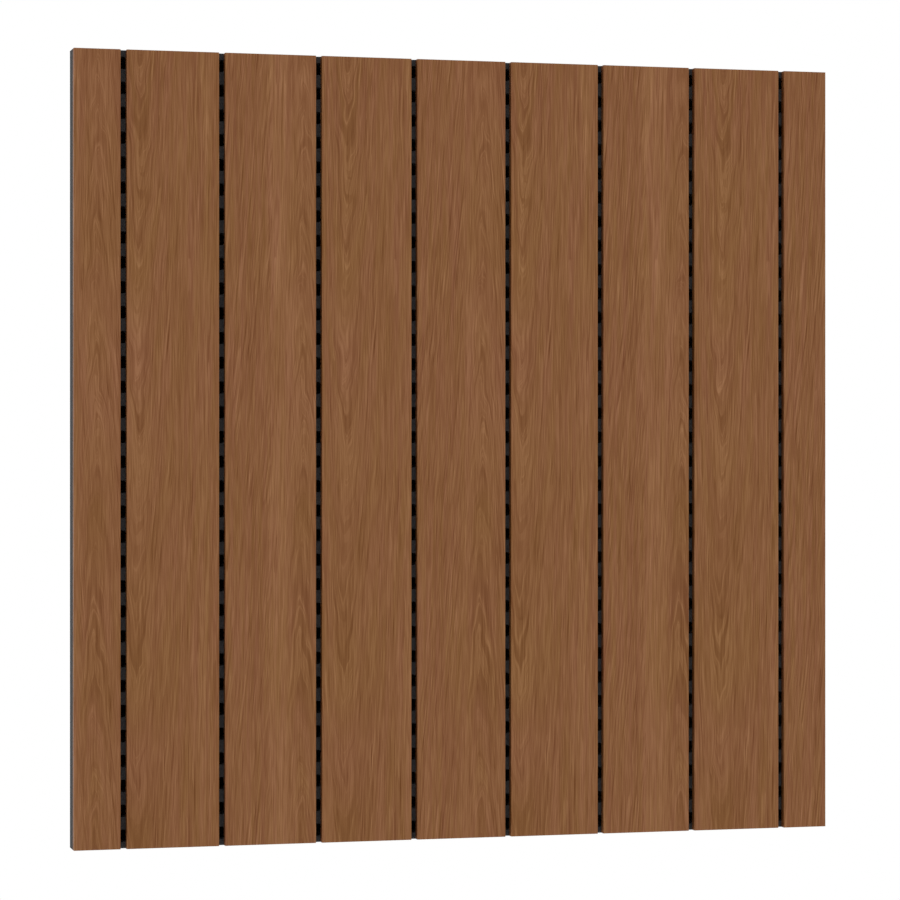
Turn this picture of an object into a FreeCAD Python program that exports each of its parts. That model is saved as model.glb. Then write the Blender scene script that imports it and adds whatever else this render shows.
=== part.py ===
"""Acoustic slat wall panel: nine wooden slats on a perforated core board, backed with a fleece.

Seen from the room, X runs to the right, +Y points into the wall and +Z is up. The origin is the
centre of the back face, the face that lies on the wall.
"""

import FreeCAD, Part
import os

import Sketcher

# Driving sizes in millimetres, and two plain counts.
SIZES = {
    "panel_height": 512.0,
    "full_slat_width": 60.0,
    "full_slat_count": 7,
    "slat_gap": 4.0,
    "slat_thickness": 5.0,
    "slat_edge_chamfer": 0.3,
    "core_thickness": 13.0,
    "hole_diameter": 8.0,
    "hole_sides": 10,
    "hole_pitch": 16.0,
    "hole_end_margin": 8.0,
    "fleece_thickness": 0.3,
    "fleece_inset": 3.0,
}

# Expressions that several pieces share. The board is a row of equal modules, each as wide as the
# slat pitch with a gap down its middle, so an edge slat is half a full one and panels set side by
# side keep the pitch.
SLAT_PITCH = "(sizes.full_slat_width + sizes.slat_gap)"
EDGE_SLAT_WIDTH = "(sizes.full_slat_width / 2)"
MODULE_COUNT = "(sizes.full_slat_count + 1)"
PANEL_WIDTH = f"({MODULE_COUNT} * {SLAT_PITCH})"
HOLE_ROWS = "(floor((sizes.panel_height - 2 * sizes.hole_end_margin) / sizes.hole_pitch) + 1)"
CORE_BACK = "(-sizes.fleece_thickness)"
CORE_FRONT = f"({CORE_BACK} - sizes.core_thickness)"

# How a sketch names its own origin.
ORIGIN_POINT = (-1, 1)

doc = FreeCAD.newDocument("acoustic_slat_panel")


def make_sheet():
    """The sheet of driving sizes, one alias a row."""
    sheet = doc.addObject("Spreadsheet::Sheet", "sizes")
    for row, (alias, size) in enumerate(SIZES.items(), start=1):
        sheet.set(f"A{row}", alias)
        sheet.set(f"B{row}", str(size))
        sheet.setAlias(f"B{row}", alias)
    doc.recompute()


def make_body(label, **place):
    """An empty body, with expressions for the coordinates of its place."""
    body = doc.addObject("PartDesign::Body", label)
    body.Label = label
    for axis, expression in place.items():
        body.setExpression(f"Placement.Base.{axis}", expression)
    return body


def origin_item(body, role):
    """One of the body's own origin planes or axes."""
    return next(item for item in body.Origin.OriginFeatures if item.Role == role)


def make_sketch(body, name, plane_role):
    """An empty sketch on one of the body's own origin planes."""
    sketch = body.newObject("Sketcher::SketchObject", name)
    sketch.AttachmentSupport = [(origin_item(body, plane_role), "")]
    sketch.MapMode = "FlatFace"
    return sketch


def dimension(sketch, name, kind, *places, start, expression):
    """A named dimension that an expression drives, with its value at the start."""
    index = sketch.addConstraint(Sketcher.Constraint(kind, *places, start))
    sketch.renameConstraint(index, name)
    sketch.setExpression(f"Constraints.{name}", expression)


def pad(body, sketch, expression):
    """The sketch raised along its normal."""
    raised = body.newObject("PartDesign::Pad", f"{body.Name}_pad")
    raised.Profile = sketch
    raised.setExpression("Length", expression)
    sketch.Visibility = False
    body.Tip = raised
    return raised


def draw_loop(sketch, points):
    """A closed outline through the points. Its level and upright sides stay so."""
    count = len(points)
    for side in range(count):
        start = FreeCAD.Vector(*points[side], 0)
        end = FreeCAD.Vector(*points[(side + 1) % count], 0)
        sketch.addGeometry(Part.LineSegment(start, end), False)
        if start.y == end.y:
            sketch.addConstraint(Sketcher.Constraint("Horizontal", side))
        elif start.x == end.x:
            sketch.addConstraint(Sketcher.Constraint("Vertical", side))
    for side in range(count):
        sketch.addConstraint(Sketcher.Constraint("Coincident", side, 2, (side + 1) % count, 1))


def draw_rectangle(sketch, width, height):
    """A rectangle centred on the origin, drawn as a square that width and height then stretch."""
    side = SIZES["full_slat_width"]
    half = side / 2
    draw_loop(sketch, [(-half, -half), (half, -half), (half, half), (-half, half)])
    sketch.addConstraint(Sketcher.Constraint("Symmetric", 0, 1, 2, 1, *ORIGIN_POINT))
    dimension(sketch, "width", "DistanceX", 0, 1, 0, 2, start=side, expression=width)
    dimension(sketch, "height", "DistanceY", 1, 1, 1, 2, start=side, expression=height)


def draw_slat_section(sketch, width, near_width):
    """A slat's cross-section: its flat back on the X axis, its long front edges eased."""
    half = near_width / 2
    deep = SIZES["slat_thickness"]
    ease = SIZES["slat_edge_chamfer"]
    draw_loop(
        sketch,
        [
            (-half, 0),
            (half, 0),
            (half, ease - deep),
            (half - ease, -deep),
            (ease - half, -deep),
            (-half, ease - deep),
        ],
    )
    back, right, right_ease, front, left_ease, left = range(6)
    sketch.addConstraint(Sketcher.Constraint("Symmetric", back, 1, back, 2, *ORIGIN_POINT))
    sketch.addConstraint(Sketcher.Constraint("Equal", left, right))
    sketch.addConstraint(Sketcher.Constraint("Equal", left_ease, right_ease))
    dimension(
        sketch, "width", "DistanceX", back, 1, back, 2,
        start=near_width, expression=width,
    )
    dimension(
        sketch, "thickness", "DistanceY", front, 1, *ORIGIN_POINT,
        start=deep, expression="sizes.slat_thickness",
    )
    dimension(
        sketch, "ease_across", "DistanceX", right_ease, 2, right_ease, 1,
        start=ease, expression="sizes.slat_edge_chamfer",
    )
    dimension(
        sketch, "ease_deep", "DistanceY", right_ease, 2, right_ease, 1,
        start=ease, expression="sizes.slat_edge_chamfer",
    )


def make_slat(label, width, near_width, centre):
    """One slat, glued to the front of the core, centred at the given X."""
    body = make_body(label, x=centre, y=CORE_FRONT, z="-sizes.panel_height / 2")
    section = make_sketch(body, f"{label}_section", "XY_Plane")
    draw_slat_section(section, width, near_width)
    pad(body, section, "sizes.panel_height")
    return body


def make_edge_slat(label, side):
    """The half-width slat at the left (-1) or right (1) edge."""
    centre = f"{side} * ({PANEL_WIDTH} - {EDGE_SLAT_WIDTH}) / 2"
    return make_slat(label, EDGE_SLAT_WIDTH, SIZES["full_slat_width"] / 2, centre)


def make_full_slat(number):
    """A full slat, counted from the left, over the seam between two modules."""
    centre = f"({number} - {MODULE_COUNT} / 2) * {SLAT_PITCH}"
    return make_slat(f"slat_{number}", "sizes.full_slat_width", SIZES["full_slat_width"], centre)


def make_slats():
    """All the slats from left to right."""
    full_slats = [make_full_slat(number + 1) for number in range(SIZES["full_slat_count"])]
    return [make_edge_slat("edge_slat_left", -1), *full_slats, make_edge_slat("edge_slat_right", 1)]


def make_row(body, name, axis_role, spacing, count):
    """Equal steps along one of the body's own axes."""
    row = body.newObject("PartDesign::LinearPattern", name)
    row.Direction = (origin_item(body, axis_role), [""])
    row.Mode = "Spacing"
    row.setExpression("Offset", spacing)
    row.setExpression("Occurrences", count)
    body.Tip = row
    return row


def make_core():
    """The dark core board, one solid, with a column of holes behind each gap."""
    body = make_body("core_board", x=f"({SLAT_PITCH} - {PANEL_WIDTH}) / 2", y=CORE_BACK)

    # The module at the left edge of the board.
    outline = make_sketch(body, "module_outline", "XZ_Plane")
    draw_rectangle(outline, SLAT_PITCH, "sizes.panel_height")
    pad(body, outline, "sizes.core_thickness")
    doc.recompute()

    # Its lowest hole. A round hole is cut as a prism whose flats touch the circle of its diameter.
    hole = body.newObject("PartDesign::SubtractivePrism", "lowest_hole")
    hole.AttachmentSupport = [(origin_item(body, "XZ_Plane"), "")]
    hole.MapMode = "FlatFace"
    hole.setExpression("Polygon", "sizes.hole_sides")
    hole.setExpression("Circumradius", "sizes.hole_diameter / 2 / cos(180 deg / sizes.hole_sides)")
    hole.setExpression("Height", "sizes.core_thickness")
    hole.setExpression("AttachmentOffset.Base.y", f"-({HOLE_ROWS} - 1) * sizes.hole_pitch / 2")
    doc.recompute()

    column = make_row(body, "hole_column", "Z_Axis", "sizes.hole_pitch", HOLE_ROWS)
    column.Originals = [hole]
    doc.recompute()

    modules = make_row(body, "modules", "X_Axis", SLAT_PITCH, MODULE_COUNT)
    modules.TransformMode = "Whole shape"
    modules.Refine = False
    return body


def make_fleece():
    """The thin non-woven fleece glued over the back, a little inside the board's edges."""
    body = make_body("acoustic_fleece")
    outline = make_sketch(body, "fleece_outline", "XZ_Plane")
    draw_rectangle(
        outline,
        f"{PANEL_WIDTH} - 2 * sizes.fleece_inset",
        "sizes.panel_height - 2 * sizes.fleece_inset",
    )
    pad(body, outline, "sizes.fleece_thickness")
    return body


def check(pieces):
    """Stops on a failed object, or on a piece that isn't one valid solid."""
    for item in doc.Objects:
        if "Invalid" in item.State or "Error" in item.State:
            raise RuntimeError(f"{item.Label} failed: {item.State}")
    for piece in pieces:
        shape = piece.Shape
        if shape.isNull() or not shape.isValid() or len(shape.Solids) != 1:
            raise RuntimeError(f"{piece.Label} isn't one valid solid")


def export(pieces):
    """One file for each piece, named after its label."""
    os.makedirs("parts", exist_ok=True)
    for piece in pieces:
        piece.Shape.exportStep(f"parts/{piece.Label}.step")


make_sheet()
pieces = [make_core(), make_fleece(), *make_slats()]
doc.recompute()
check(pieces)
export(pieces)
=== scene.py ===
"""Looks, light and camera for the acoustic slat wall panel.

Metres, in the frame of the solid model: X to the right as seen from the room, +Y into the wall and
+Z up. The model's own solids keep their shape and place. This script gives them their materials,
and adds a floor, the light and a camera.
"""

from collections import namedtuple
import math

import bpy
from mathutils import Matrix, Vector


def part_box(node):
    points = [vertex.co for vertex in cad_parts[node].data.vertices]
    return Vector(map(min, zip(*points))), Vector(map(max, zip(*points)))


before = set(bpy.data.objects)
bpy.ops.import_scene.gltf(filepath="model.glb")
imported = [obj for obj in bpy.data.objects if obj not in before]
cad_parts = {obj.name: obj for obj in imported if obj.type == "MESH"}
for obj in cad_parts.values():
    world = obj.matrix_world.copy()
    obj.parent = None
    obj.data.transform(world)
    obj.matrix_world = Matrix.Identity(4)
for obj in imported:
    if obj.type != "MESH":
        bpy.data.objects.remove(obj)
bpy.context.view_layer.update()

MM = 0.001

# The camera, as the photograph was taken: level, turned to its right, with a long lens.
CAMERA_PLACE = (-0.54192, -2.02393, -0.00046)
CAMERA_TURN = math.radians(-14.909)
CAMERA_LENS = 126.238
CAMERA_SENSOR = 36.0

# One lamp stands to the left of the panel and behind its face, so it leaves the front alone.
LAMP_PLACE = (-2.4, 0.7, 0.0)
LAMP_SIZE = 0.8
LAMP_POWER = 8.0

# How far the floor lies below the panel's middle, and how far it reaches.
FLOOR_DROP = 0.5
FLOOR_RADIUS = 1.3

# Base colours of the wood, from its darkest line to its palest, where it is golden and where it
# is rosy.
GOLDEN = ((0.1150, 0.0340, 0.0030), (0.2095, 0.0879, 0.0268), (0.3350, 0.1660, 0.0660))
ROSY = ((0.1170, 0.0310, 0.0055), (0.2145, 0.0830, 0.0328), (0.3420, 0.1600, 0.0755))

# Beside the arches the fine lines follow the rings of the log, cut into parabolas: how blunt they
# are, how far the innermost one lies from the heart, and how much narrower they are to the left.
RING_BLUNTNESS = 0.8 * MM
RING_START = 5 * MM
RING_SKEW = 1.5

# How steep an arch's right leg is at its point, how much steeper it gets with each metre, and how
# much steeper the left leg is.
ARCH_STEEPNESS = 2.2
ARCH_STEEPENING = 480.0
ARCH_SKEW = 1.35

# The two kinds of leaf in the veneer: which way the arches point, how much the lines beside them
# lean, how rosy the leaf is, and its middle tone.
Kind = namedtuple("Kind", "direction lean rosiness tone")
UP = Kind(direction=1.0, lean=0.10, rosiness=0.56, tone=0.554)
DOWN = Kind(direction=-1.0, lean=-0.075, rosiness=0.45, tone=0.559)

# Where each slat's line of arches stands, to the right of the slat's middle.
DOWN_ARCHES = {
    "slat_1": -23 * MM,
    "slat_3": -14.5 * MM,
    "slat_5": -23 * MM,
    "slat_7": -11 * MM,
}
UP_ARCHES = {
    "edge_slat_left": -1 * MM,
    "slat_2": 20.5 * MM,
    "slat_4": 13.5 * MM,
    "slat_6": 24 * MM,
    "edge_slat_right": 38 * MM,
}

# How far one leaf lies behind the next in the log, as a step of the seed.
LEAF_STEP = 0.05

# The pale calm band beside the arches that point up: where it starts, to the right of the slat's
# middle, how wide it is, and how pale.
BANDS = {
    "edge_slat_left": (-30 * MM, 20 * MM, 0.11),
    "slat_2": (-1.4 * MM, 20 * MM, 0.12),
    "slat_4": (1.5 * MM, 8 * MM, 0.05),
    "slat_6": (-2.3 * MM, 22 * MM, 0.115),
    "edge_slat_right": (16 * MM, 20 * MM, 0.11),
}


def add_node(tree, node_type, inputs=None, **settings):
    """A shader node with these settings. Each input is linked to a socket or set to a value."""
    node = tree.nodes.new(node_type)
    for name, setting in settings.items():
        setattr(node, name, setting)
    for key, value in (inputs or {}).items():
        if isinstance(value, bpy.types.NodeSocket):
            tree.links.new(value, node.inputs[key])
        else:
            node.inputs[key].default_value = value
    return node


def calc(tree, operation, *values):
    """The result of one sum on numbers or sockets."""
    return add_node(tree, "ShaderNodeMath", dict(enumerate(values)), operation=operation).outputs[0]


def weigh(tree, parts):
    """The sum of each socket times its weight."""
    total = 0.0
    for socket, weight in parts:
        total = calc(tree, "MULTIPLY_ADD", socket, weight, total)
    return total


def ramp(tree, value, start, end):
    """0 up to the start, 1 from the end on, and a smooth rise between."""
    inputs = {"Value": value, "From Min": start, "From Max": end}
    node = add_node(tree, "ShaderNodeMapRange", inputs, interpolation_type="SMOOTHSTEP")
    return node.outputs["Result"]


def stripe(tree, value, start, crest, end):
    """1 at the crest, 0 outside the start and the end, and a smooth fall between."""
    return calc(tree, "MULTIPLY", ramp(tree, value, start, crest), ramp(tree, value, end, crest))


def split(tree, place):
    """A place's three coordinates: across, deep and along."""
    return add_node(tree, "ShaderNodeSeparateXYZ", {0: place}).outputs


def join(tree, across, deep, along):
    """The place with these three coordinates."""
    return add_node(tree, "ShaderNodeCombineXYZ", {0: across, 1: deep, 2: along}).outputs[0]


def noise(tree, place, size, detail=0.0, roughness=0.5, seed=0.0):
    """Noise about zero, with blobs of the given size in metres along each axis."""
    scale = [1 / length for length in size]
    inputs = {0: place, 1: scale, 2: (0.0, seed, 0.0)}
    scaled = add_node(tree, "ShaderNodeVectorMath", inputs, operation="MULTIPLY_ADD")
    inputs = {
        "Vector": scaled.outputs[0],
        "Scale": 1.0,
        "Detail": detail,
        "Roughness": roughness,
    }
    texture = add_node(tree, "ShaderNodeTexNoise", inputs, noise_dimensions="3D")
    return calc(tree, "SUBTRACT", texture.outputs["Fac"], 0.5)


def paint(tree, tone, stops):
    """A colour that runs through the stops, each a place from 0 to 1 and a colour."""
    stops = list(stops)
    node = add_node(tree, "ShaderNodeValToRGB", {"Fac": tone})
    elements = node.color_ramp.elements
    while len(elements) < len(stops):
        elements.new(1.0)
    for element, (place, colour) in zip(elements, stops):
        element.position = place
        element.color = (*colour, 1.0)
    return node.outputs["Color"]


def new_material(name, specular):
    """An empty material, its tree, its shader and the place on the surface in metres."""
    material = bpy.data.materials.new(name)
    material.use_nodes = True
    tree = material.node_tree
    shader = tree.nodes["Principled BSDF"]
    shader.inputs["Specular IOR Level"].default_value = specular
    place = add_node(tree, "ShaderNodeTexCoord").outputs["Object"]
    return material, tree, shader, place


def add_bump(tree, shader, height, depth):
    """Relief of the given depth in metres where the height goes from 0 to 1."""
    bump = add_node(tree, "ShaderNodeBump", {"Height": height, "Strength": 1.0, "Distance": depth})
    tree.links.new(bump.outputs["Normal"], shader.inputs["Normal"])


def sway(tree, place, kind, leaf):
    """How far every line of the grain strays to the side on its way up."""
    parts = [
        (noise(tree, place, (60 * MM, 60 * MM, 110 * MM), seed=leaf + 0.4), 5 * MM),
        (noise(tree, place, (9 * MM, 60 * MM, 45 * MM), seed=leaf + 0.4), 1.6 * MM),
    ]
    if kind is DOWN:
        parts.append((noise(tree, place, (5 * MM, 60 * MM, 22 * MM), seed=leaf + 0.9), 1.0 * MM))
    return weigh(tree, parts)


def place_in_log(tree, swayed, rise, leaf):
    """Where a point lies in the log: how far from its heart, how deep, and how high."""
    across, deep, along = split(tree, swayed)
    spread = calc(tree, "MAXIMUM", across, calc(tree, "MULTIPLY", across, -RING_SKEW))
    uneven = noise(tree, swayed, (7 * MM, 30 * MM, 24 * MM), detail=1.0, seed=leaf + 2.0)
    squares = weigh(
        tree,
        [
            (calc(tree, "POWER", spread, 2.0), 1.0),
            (calc(tree, "MULTIPLY_ADD", uneven, 30 * MM, rise), 2 * RING_BLUNTNESS),
            (deep, 2 * RING_START),
        ],
    )
    radius = calc(tree, "SQRT", calc(tree, "ADD", squares, RING_START**2))
    return join(tree, radius, deep, along)


def fan_from_band(tree, across, band_left, width):
    """How far a point lies from the pale band's middle, and how much its lines fan out from it."""
    distance = calc(tree, "ABSOLUTE", calc(tree, "SUBTRACT", across, band_left + width / 2))
    beside_band = ramp(tree, distance, 0.3 * width, 0.6 * width)
    off_arches = calc(tree, "SUBTRACT", 1.0, stripe(tree, across, -9 * MM, -2 * MM, 9 * MM))
    return distance, calc(tree, "MULTIPLY", beside_band, off_arches)


def fan_from_arches(tree, across):
    """How far right of the arches a point lies, and how much its lines lean over to them."""
    past_arches = ramp(tree, across, 4 * MM, 9 * MM)
    before_straight = ramp(tree, across, 34 * MM, 20 * MM)
    return across, calc(tree, "MULTIPLY", past_arches, before_straight)


def near_line(tree, across):
    """1 at the line of arches, and 0 away from it."""
    left_fade = ramp(tree, across, -11 * MM, -4 * MM)
    right_fade = ramp(tree, across, 14 * MM, 4 * MM)
    return calc(tree, "MULTIPLY", left_fade, right_fade)


def grain(tree, place, seed):
    """The tone of long upright lines, about zero: soft ones, dark ones, pale ones and threads."""
    soft = noise(tree, place, (3.2 * MM, 30 * MM, 200 * MM), seed=seed)
    lines = noise(tree, place, (1.3 * MM, 30 * MM, 90 * MM), seed=seed + 1.0)
    threads = noise(tree, place, (0.8 * MM, 30 * MM, 45 * MM), seed=seed + 2.0)
    parts = [
        (soft, 0.13),
        (lines, 0.15),
        (threads, 0.30),
        (ramp(tree, lines, 0.12, 0.15), -0.18),
        (ramp(tree, lines, -0.13, -0.16), 0.15),
        (ramp(tree, threads, 0.13, 0.16), -0.28),
        (ramp(tree, threads, -0.145, -0.175), 0.26),
    ]
    return weigh(tree, parts)


def upright_lines(tree, place, log, fanned, fan, near_arches, leaf):
    """The tone of all the long lines: they follow the log, or fan out where the fan is 1."""
    ring_grain = grain(tree, log, leaf + 3.0)
    fan_grain = grain(tree, fanned, leaf + 6.0)
    # They are fainter among the arches.
    ring_strength = calc(tree, "MULTIPLY_ADD", near_arches, -0.55, 1.0)
    ring_grain = calc(tree, "MULTIPLY", ring_grain, ring_strength)
    difference = calc(tree, "SUBTRACT", fan_grain, ring_grain)
    lines = calc(tree, "MULTIPLY_ADD", fan, difference, ring_grain)
    # They grow fainter and stronger in patches.
    patches = noise(tree, place, (4 * MM, 60 * MM, 50 * MM), detail=1.0, seed=leaf + 0.7)
    return calc(tree, "MULTIPLY", lines, calc(tree, "MULTIPLY_ADD", patches, 3.2, 1.0))


def pointed_arches(tree, place, across, direction, leaf):
    """Pale and dark arches along a line. They point up (1) or down (-1)."""
    _, deep, along = split(tree, place)
    wander = noise(tree, place, (60 * MM, 60 * MM, 26 * MM), seed=leaf + 3.1)
    across = calc(tree, "MULTIPLY_ADD", wander, 6.5 * MM, across)
    spread = calc(tree, "MAXIMUM", across, calc(tree, "MULTIPLY", across, -ARCH_SKEW))
    uneven = noise(tree, place, (6 * MM, 30 * MM, 22 * MM), detail=1.0, seed=leaf + 2.6)
    height = weigh(
        tree,
        [
            (spread, ARCH_STEEPNESS),
            (calc(tree, "POWER", spread, 2.0), ARCH_STEEPENING),
            (uneven, 32 * MM),
            (along, direction),
        ],
    )
    bent = join(tree, height, deep, along)
    rings = noise(tree, bent, (18 * MM, 60 * MM, 300 * MM), detail=1.0, seed=leaf + 0.5)
    # Soft dark fills, and two thin pale outlines.
    shapes = weigh(
        tree,
        [
            (ramp(tree, rings, 0.0, 0.16), -0.14),
            (stripe(tree, rings, -0.02, 0.01, 0.04), 0.13),
            (stripe(tree, rings, -0.13, -0.10, -0.07), 0.11),
        ],
    )
    patches = noise(tree, place, (60 * MM, 60 * MM, 45 * MM), seed=leaf + 1.5)
    strength = calc(tree, "MULTIPLY_ADD", ramp(tree, patches, -0.12, 0.1), 0.5, 0.6)
    return calc(tree, "MULTIPLY", shapes, strength)


def pale_band(tree, straight, along, band_left, width, leaf):
    """1 in the pale band, whose left edge breaks up into slanting tips, and 0 outside it."""
    leaning = calc(tree, "MULTIPLY_ADD", along, -0.15, straight)
    slanted = join(tree, leaning, 0.0, along)
    feather = noise(tree, slanted, (1.1 * MM, 1.0, 18 * MM), detail=2.0, seed=leaf + 0.5)
    edge = calc(tree, "MULTIPLY_ADD", feather, 16 * MM, straight)
    rise_in = ramp(tree, edge, band_left - 0.5 * MM, band_left + 1.0 * MM)
    fall_out = ramp(tree, straight, band_left + width + 5 * MM, band_left + 0.2 * width)
    return calc(tree, "MULTIPLY", rise_in, fall_out)


def beside_up_arches(tree, name, offset, straight, across, along, leaf):
    """The fan of lines beside arches that point up, and the weighed parts that are pale there."""
    start, width, paleness = BANDS[name]
    band_left = start - offset
    distance, fan = fan_from_band(tree, across, band_left, width)
    band = pale_band(tree, straight, along, band_left, width, leaf)
    return distance, fan, [(band, paleness)]


def beside_down_arches(tree, straight, across):
    """The fan of lines beside arches that point down, and the weighed parts that are pale there."""
    distance, fan = fan_from_arches(tree, across)
    at_arches = stripe(tree, straight, -4 * MM, 0.0, 5 * MM)
    far_right = stripe(tree, straight, 38 * MM, 43 * MM, 50 * MM)
    return distance, fan, [(at_arches, 0.05), (far_right, 0.06)]


def colour_wood(tree, tone, log, rosiness, leaf):
    """The colour of a tone. It wanders between golden and rosy from line to line."""
    hue = noise(tree, log, (4.5 * MM, 30 * MM, 90 * MM), detail=1.0, seed=leaf + 11.0)
    blend = calc(tree, "MULTIPLY_ADD", hue, 2.4, rosiness)
    golden, rosy = [paint(tree, tone, zip((0.0, 0.5, 1.0), stops)) for stops in (GOLDEN, ROSY)]
    mixed = add_node(tree, "ShaderNodeMix", {0: blend, 6: golden, 7: rosy}, data_type="RGBA")
    return mixed.outputs[2]


def make_wood(name, offset, kind, leaf):
    """Brown veneer with upright grain and one line of arches. Each leaf differs a little."""
    material, tree, shader, place = new_material(f"wood_{name}", specular=0.15)

    # Places are measured from the line of arches and from the slat's face.
    low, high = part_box(name)
    origin = ((low.x + high.x) / 2 + offset, low.y, 0.0)
    shifted = add_node(tree, "ShaderNodeVectorMath", {0: place, 1: origin}, operation="SUBTRACT")
    place = shifted.outputs[0]
    straight, deep, along = split(tree, place)
    across = calc(tree, "ADD", straight, sway(tree, place, kind, leaf))
    swayed = join(tree, across, deep, along)

    if kind is UP:
        ground_end = low.z
        beside = beside_up_arches(tree, name, offset, straight, across, along, leaf)
    else:
        ground_end = high.z
        beside = beside_down_arches(tree, straight, across)
    distance, fan, pale_parts = beside
    # The rise is the height up the trunk, from the slat's end that was nearest to the ground.
    rise = calc(tree, "MULTIPLY", calc(tree, "SUBTRACT", along, ground_end), kind.direction)
    log = place_in_log(tree, swayed, rise, leaf)
    fanned = join(tree, calc(tree, "MULTIPLY_ADD", along, kind.lean, distance), deep, along)

    near_arches = near_line(tree, across)
    arches = pointed_arches(tree, place, across, kind.direction, leaf)
    upright = upright_lines(tree, place, log, fanned, fan, near_arches, leaf)
    hairs = noise(tree, place, (0.45 * MM, 2 * MM, 14 * MM), seed=leaf + 0.3)
    pinstripes = noise(tree, swayed, (0.75 * MM, 30 * MM, 150 * MM), seed=leaf + 0.6)
    clouds = noise(tree, place, (16 * MM, 30 * MM, 100 * MM), detail=2.0, seed=leaf + 5.0)
    # Painted shade: the slats' sides and ends are darkened from just below the face, standing in
    # for the shade inside the grooves.
    painted_side_shade = ramp(tree, deep, 0.25 * MM, 0.5 * MM)
    parts = [
        (upright, 0.64),
        (hairs, 0.42),
        (pinstripes, 0.30),
        (ramp(tree, pinstripes, 0.14, 0.17), -0.18),
        (clouds, 0.14),
        (calc(tree, "MULTIPLY", near_arches, arches), 1.2),
        # Painted shade on the slats' sides and ends.
        (painted_side_shade, -0.25),
    ]
    tone = calc(tree, "ADD", weigh(tree, parts + pale_parts), kind.tone)

    colour = colour_wood(tree, tone, log, kind.rosiness, leaf)
    tree.links.new(colour, shader.inputs["Base Color"])
    relief = weigh(tree, [(upright, 0.5), (hairs, 0.8)])
    tree.links.new(calc(tree, "MULTIPLY_ADD", relief, -0.3, 0.52), shader.inputs["Roughness"])
    add_bump(tree, shader, relief, 0.06 * MM)
    return material


def make_core():
    """Raw fibreboard, dyed dark grey right through."""
    material, tree, shader, place = new_material("core_fibreboard", specular=0.2)
    wads = noise(tree, place, (1.6 * MM, 1.6 * MM, 1.6 * MM), detail=4.0, roughness=0.65)
    strands = noise(tree, place, (0.25 * MM, 0.25 * MM, 1.4 * MM), detail=3.0, seed=4.0)
    tone = calc(tree, "ADD", weigh(tree, [(wads, 0.9), (strands, 0.8)]), 0.5)
    dark, middle, pale = (0.018, 0.017, 0.018), (0.034, 0.033, 0.034), (0.062, 0.058, 0.057)
    colour = paint(tree, tone, [(0.15, dark), (0.5, middle), (0.9, pale)])
    tree.links.new(colour, shader.inputs["Base Color"])
    tree.links.new(calc(tree, "MULTIPLY_ADD", wads, 0.3, 0.86), shader.inputs["Roughness"])
    add_bump(tree, shader, tone, 0.12 * MM)
    return material


def make_fleece():
    """Black non-woven fleece: thin fibres that lie every way over each other."""
    material, tree, shader, place = new_material("black_fleece", specular=0.15)
    directions = 5
    layers = []
    for number in range(directions):
        inputs = {"Vector": place, "Angle": math.pi * number / directions}
        turned = add_node(tree, "ShaderNodeVectorRotate", inputs, rotation_type="Y_AXIS").outputs[0]
        fibres = noise(tree, turned, (0.16 * MM, 1.0, 3.0 * MM), detail=1.0, seed=3.0 * number)
        layers.append((fibres, 0.8))
    wads = noise(tree, place, (14 * MM, 1.0, 14 * MM), detail=4.0, roughness=0.7)
    tone = calc(tree, "ADD", weigh(tree, [*layers, (wads, 1.4)]), 0.5)
    dark, middle, pale = (0.0025, 0.0025, 0.003), (0.006, 0.006, 0.0065), (0.02, 0.02, 0.022)
    colour = paint(tree, tone, [(0.1, dark), (0.5, middle), (1.0, pale)])
    tree.links.new(colour, shader.inputs["Base Color"])
    tree.links.new(calc(tree, "MULTIPLY_ADD", tone, 0.2, 0.78), shader.inputs["Roughness"])
    add_bump(tree, shader, tone, 0.15 * MM)
    return material


def finish_node(name, material):
    """Gives a solid its material, in each of its slots."""
    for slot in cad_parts[name].material_slots:
        slot.material = material


def finish_slats():
    """Each slat has a leaf of its own, cut from the same log as the others of its kind."""
    for kind, arches in ((DOWN, DOWN_ARCHES), (UP, UP_ARCHES)):
        for number, (name, offset) in enumerate(arches.items()):
            finish_node(name, make_wood(name, offset, kind, LEAF_STEP * number))


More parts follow.
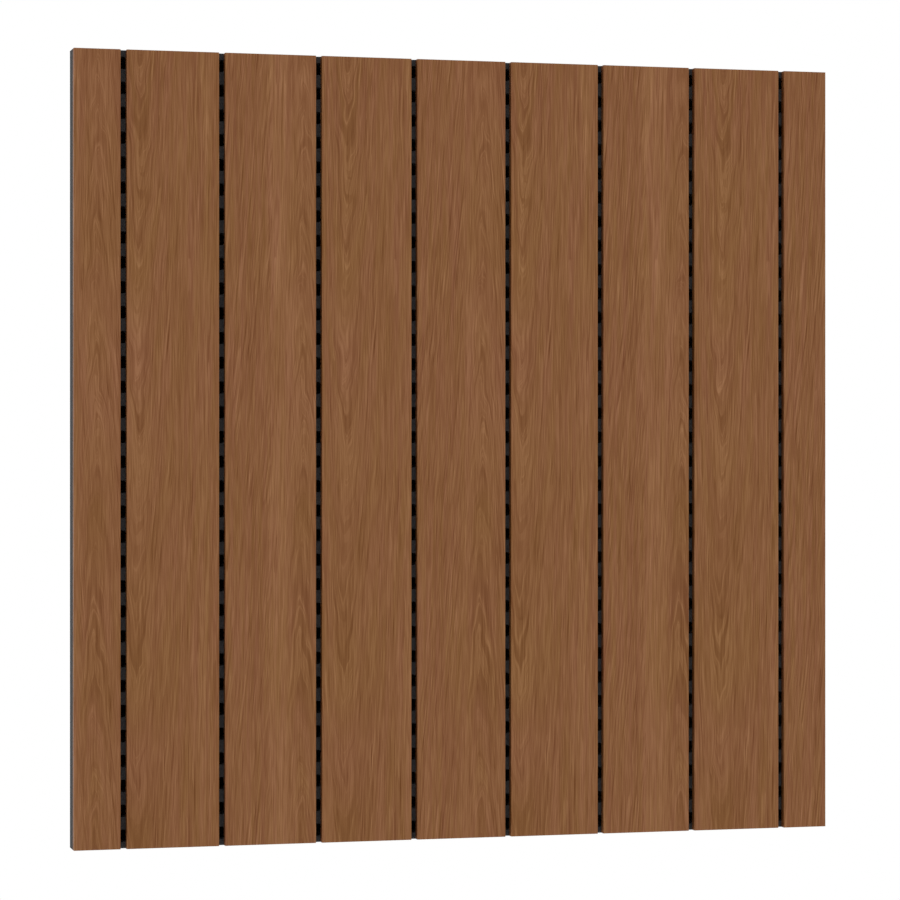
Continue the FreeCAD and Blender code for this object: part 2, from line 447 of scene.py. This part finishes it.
def make_floor(drop, radius):
    """A round pale floor under the panel, which fades out at its rim."""
    points = 96
    turns = [2 * math.pi * number / points for number in range(points)]
    rim = [(radius * math.cos(turn), radius * math.sin(turn), -drop) for turn in turns]
    mesh = bpy.data.meshes.new("floor")
    mesh.from_pydata(rim, [], [range(points)])
    floor = bpy.data.objects.new("floor", mesh)
    bpy.context.scene.collection.objects.link(floor)

    material, tree, shader, place = new_material("floor_plaster", specular=0.0)
    shader.inputs["Roughness"].default_value = 0.9
    speckle = noise(tree, place, (20 * MM, 20 * MM, 20 * MM), detail=4.0)
    colour = paint(tree, calc(tree, "ADD", speckle, 0.5), [(0.0, (0.88,) * 3), (1.0, (0.94,) * 3)])
    tree.links.new(colour, shader.inputs["Base Color"])
    level = add_node(tree, "ShaderNodeVectorMath", {0: place, 1: (1, 1, 0)}, operation="MULTIPLY")
    reach = add_node(tree, "ShaderNodeVectorMath", {0: level.outputs[0]}, operation="LENGTH")
    fade = ramp(tree, reach.outputs["Value"], 0.45 * radius, 0.98 * radius)
    clear = add_node(tree, "ShaderNodeBsdfTransparent")
    inputs = {0: fade, 1: shader.outputs[0], 2: clear.outputs[0]}
    mix = add_node(tree, "ShaderNodeMixShader", inputs)
    tree.links.new(mix.outputs[0], tree.nodes["Material Output"].inputs["Surface"])
    mesh.materials.append(material)


def make_world():
    """White studio walls all round, which light the panel evenly and stand behind it."""
    world = bpy.data.worlds.new("white_studio")
    bpy.context.scene.world = world
    world.use_nodes = True
    background = world.node_tree.nodes["Background"]
    background.inputs["Color"].default_value = (1.0, 1.0, 1.0, 1.0)
    background.inputs["Strength"].default_value = 1.0


def make_lamp(name, place, size, power):
    """A soft square lamp that points at the panel."""
    data = bpy.data.lights.new(name, "AREA")
    data.shape = "SQUARE"
    data.size = size
    data.energy = power
    lamp = bpy.data.objects.new(name, data)
    bpy.context.scene.collection.objects.link(lamp)
    lamp.location = place
    lamp.rotation_mode = "QUATERNION"
    lamp.rotation_quaternion = (-lamp.location).to_track_quat("-Z", "Y")


def make_camera():
    """The photograph's view."""
    data = bpy.data.cameras.new("camera")
    data.lens = CAMERA_LENS
    data.sensor_width = CAMERA_SENSOR
    camera = bpy.data.objects.new("camera", data)
    bpy.context.scene.collection.objects.link(camera)
    camera.location = CAMERA_PLACE
    camera.rotation_euler = (math.radians(90), 0.0, CAMERA_TURN)
    bpy.context.scene.camera = camera


finish_slats()
finish_node("core_board", make_core())
finish_node("acoustic_fleece", make_fleece())
make_floor(FLOOR_DROP, FLOOR_RADIUS)
make_world()
make_lamp("side_lamp", LAMP_PLACE, LAMP_SIZE, LAMP_POWER)
make_camera()
bpy.context.scene.view_settings.view_transform = "Standard"
